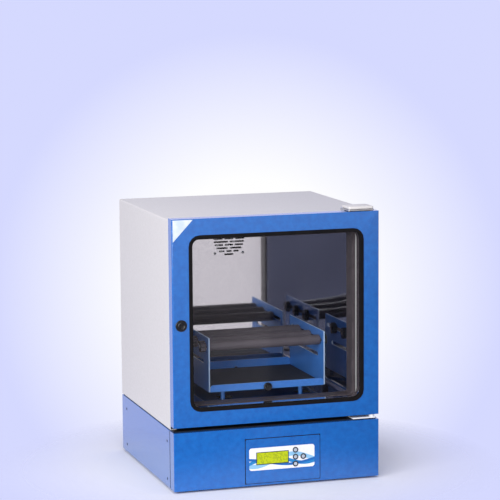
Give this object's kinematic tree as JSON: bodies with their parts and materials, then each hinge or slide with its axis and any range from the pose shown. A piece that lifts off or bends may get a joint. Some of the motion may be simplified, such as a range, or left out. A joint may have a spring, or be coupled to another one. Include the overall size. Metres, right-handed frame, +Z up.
{
  "type": "shaking incubator",
  "caption": "Benchtop shaking incubator: blue base with controls, insulated cabinet with a window door, and an orbiting tray with clamp bars.",
  "frame": {"origin": "middle of the bottom of the bounding box", "axes": "+Z up, front towards -Y, door hinges on the right at +X"},
  "size_m": [0.5, 0.4886, 0.6453],
  "materials": {
    "blue_coat": "structured powder coat",
    "light_coat": "fine powder coat",
    "polished_steel": "bright polished sheet",
    "zinc": "zinc plated",
    "steel": "machined",
    "cast_alloy": "cast",
    "black_rubber": "moulded",
    "sleeve_rubber": "extruded",
    "seal": "extruded silicone",
    "black_plastic": "moulded",
    "film": "printed film",
    "display": "backlit display",
    "board": "solder mask",
    "wool": "mineral wool",
    "white_coat": "smooth coat",
    "glass": "clear float"
  },
  "bodies": {
    "cabinet": {"base_tub": "blue_coat", "base_front_panel": "blue_coat", "base_back_panel": "blue_coat", "foot_front_left": "black_rubber", "foot_front_right": "black_rubber", "foot_rear_left": "black_rubber", "foot_rear_right": "black_rubber", "control_plate": "blue_coat", "control_overlay": "film", "display_module": "display", "control_board": "board", "power_inlet": "black_plastic", "drive_plate": "cast_alloy", "drive_motor": "cast_alloy", "drive_belt": "black_rubber", "cabinet_floor": "black_plastic", "cabinet_wrapper": "light_coat", "cabinet_back_panel": "light_coat", "front_frame": "light_coat", "front_collar": "seal", "chamber_liner": "polished_steel", "insulation": "wool", "fan_motor": "zinc", "ring_heater": "zinc", "temperature_probe": "zinc", "latch_strike": "zinc", "hinge_top_bracket": "zinc", "hinge_top_cover": "light_coat", "hinge_bottom_bracket": "zinc"},
    "door": {"door_skin": "blue_coat", "door_inner_frame": "white_coat", "outer_glass": "glass", "inner_glass": "glass", "window_gasket": "black_rubber", "door_seal": "seal", "latch_bezel": "black_plastic"},
    "latch_knob": {"latch_knob": "black_plastic"},
    "button_up": {"button_up": "black_plastic"},
    "button_middle": {"button_middle": "black_plastic"},
    "button_down": {"button_down": "black_plastic"},
    "button_right": {"button_right": "black_plastic"},
    "power_switch_rocker": {"power_switch_rocker": "black_plastic"},
    "motor_pulley": {"motor_pulley": "steel"},
    "drive_crank": {"drive_crank": "steel"},
    "idler_crank_left": {"idler_crank_left": "steel"},
    "idler_crank_right": {"idler_crank_right": "steel"},
    "platform": {"shaker_table": "cast_alloy", "tray_plate": "blue_coat", "tray_side_left": "blue_coat", "tray_side_right": "blue_coat", "tray_mat": "black_rubber"},
    "clamp_bar_front": {"clamp_bar_front": "sleeve_rubber"},
    "clamp_bar_middle": {"clamp_bar_middle": "sleeve_rubber"},
    "clamp_bar_rear": {"clamp_bar_rear": "sleeve_rubber"},
    "star_knob_front": {"star_knob_front": "black_plastic"},
    "star_knob_middle": {"star_knob_middle": "black_plastic"},
    "star_knob_rear": {"star_knob_rear": "black_plastic"},
    "thumb_screw_front": {"thumb_screw_front": "zinc"},
    "thumb_screw_rear": {"thumb_screw_rear": "zinc"},
    "fan_impeller": {"fan_impeller": "cast_alloy"}
  },
  "joints": [
    {"name": "door_hinge", "type": "hinge", "parent": "cabinet", "child": "door", "pos_m": [0.234, -0.2293, 0.1533], "axis": [0, 0, 1], "range_deg": [0, 110]},
    {"name": "latch_turn", "type": "hinge", "parent": "door", "child": "latch_knob", "pos_m": [-0.2297, -0.2383, 0.3906], "axis": [0, 1, 0], "range_deg": [0, 90]},
    {"name": "press_up", "type": "slide", "parent": "cabinet", "child": "button_up", "axis": [0, 1, 0], "range_m": [0, 0.0008], "stiffness_N_per_m": 800},
    {"name": "press_middle", "type": "slide", "parent": "cabinet", "child": "button_middle", "axis": [0, 1, 0], "range_m": [0, 0.0008], "stiffness_N_per_m": 800},
    {"name": "press_down", "type": "slide", "parent": "cabinet", "child": "button_down", "axis": [0, 1, 0], "range_m": [0, 0.0008], "stiffness_N_per_m": 800},
    {"name": "press_right", "type": "slide", "parent": "cabinet", "child": "button_right", "axis": [0, 1, 0], "range_m": [0, 0.0008], "stiffness_N_per_m": 800},
    {"name": "power_switch", "type": "hinge", "parent": "cabinet", "child": "power_switch_rocker", "pos_m": [-0.118, 0.2378, 0.065], "axis": [-1, 0, 0], "range_deg": [0, 10]},
    {"name": "crank_spin", "type": "hinge", "parent": "cabinet", "child": "drive_crank", "pos_m": [0, -0.0933, 0.05], "axis": [0, 0, 1], "continuous": true},
    {"name": "motor_spin", "type": "hinge", "parent": "cabinet", "child": "motor_pulley", "pos_m": [0, 0.0917, 0.05], "axis": [0, 0, 1], "continuous": true},
    {"name": "idler_left_spin", "type": "hinge", "parent": "cabinet", "child": "idler_crank_left", "pos_m": [-0.09, 0.0467, 0.1], "axis": [0, 0, 1], "continuous": true},
    {"name": "idler_right_spin", "type": "hinge", "parent": "cabinet", "child": "idler_crank_right", "pos_m": [0.09, 0.0467, 0.1], "axis": [0, 0, 1], "continuous": true},
    {"name": "platform_orbit", "type": "hinge", "parent": "drive_crank", "child": "platform", "pos_m": [0, -0.0833, 0.16], "axis": [0, 0, 1], "continuous": true},
    {"name": "bar_front_slide", "type": "slide", "parent": "platform", "child": "clamp_bar_front", "axis": [0, 1, 0], "range_m": [-0.01, 0.028]},
    {"name": "knob_front_turn", "type": "hinge", "parent": "clamp_bar_front", "child": "star_knob_front", "pos_m": [0.156, -0.1113, 0.316], "axis": [1, 0, 0], "range_deg": [0, 360]},
    {"name": "bar_middle_slide", "type": "slide", "parent": "platform", "child": "clamp_bar_middle", "axis": [0, 1, 0], "range_m": [-0.01, 0.03]},
    {"name": "knob_middle_turn", "type": "hinge", "parent": "clamp_bar_middle", "child": "star_knob_middle", "pos_m": [0.156, -0.0423, 0.316], "axis": [1, 0, 0], "range_deg": [0, 360]},
    {"name": "bar_rear_slide", "type": "slide", "parent": "platform", "child": "clamp_bar_rear", "axis": [0, 1, 0], "range_m": [-0.018, 0.05]},
    {"name": "knob_rear_turn", "type": "hinge", "parent": "clamp_bar_rear", "child": "star_knob_rear", "pos_m": [0.156, 0.0357, 0.316], "axis": [1, 0, 0], "range_deg": [0, 360]},
    {"name": "thumb_front_turn", "type": "hinge", "parent": "platform", "child": "thumb_screw_front", "pos_m": [0.0065, -0.1403, 0.217], "axis": [0, -1, 0], "range_deg": [0, 360]},
    {"name": "thumb_rear_turn", "type": "hinge", "parent": "platform", "child": "thumb_screw_rear", "pos_m": [0.0065, 0.1137, 0.217], "axis": [0, 1, 0], "range_deg": [0, 360]},
    {"name": "fan_spin", "type": "hinge", "parent": "cabinet", "child": "fan_impeller", "pos_m": [0, 0.1557, 0.5339], "axis": [0, 1, 0], "continuous": true}
  ],
  "couplings": [
    {"joint": "platform_orbit", "follows": "crank_spin", "ratio": -1},
    {"joint": "idler_left_spin", "follows": "crank_spin", "ratio": 1},
    {"joint": "idler_right_spin", "follows": "crank_spin", "ratio": 1},
    {"joint": "motor_spin", "follows": "crank_spin", "ratio": 2.75}
  ]
}
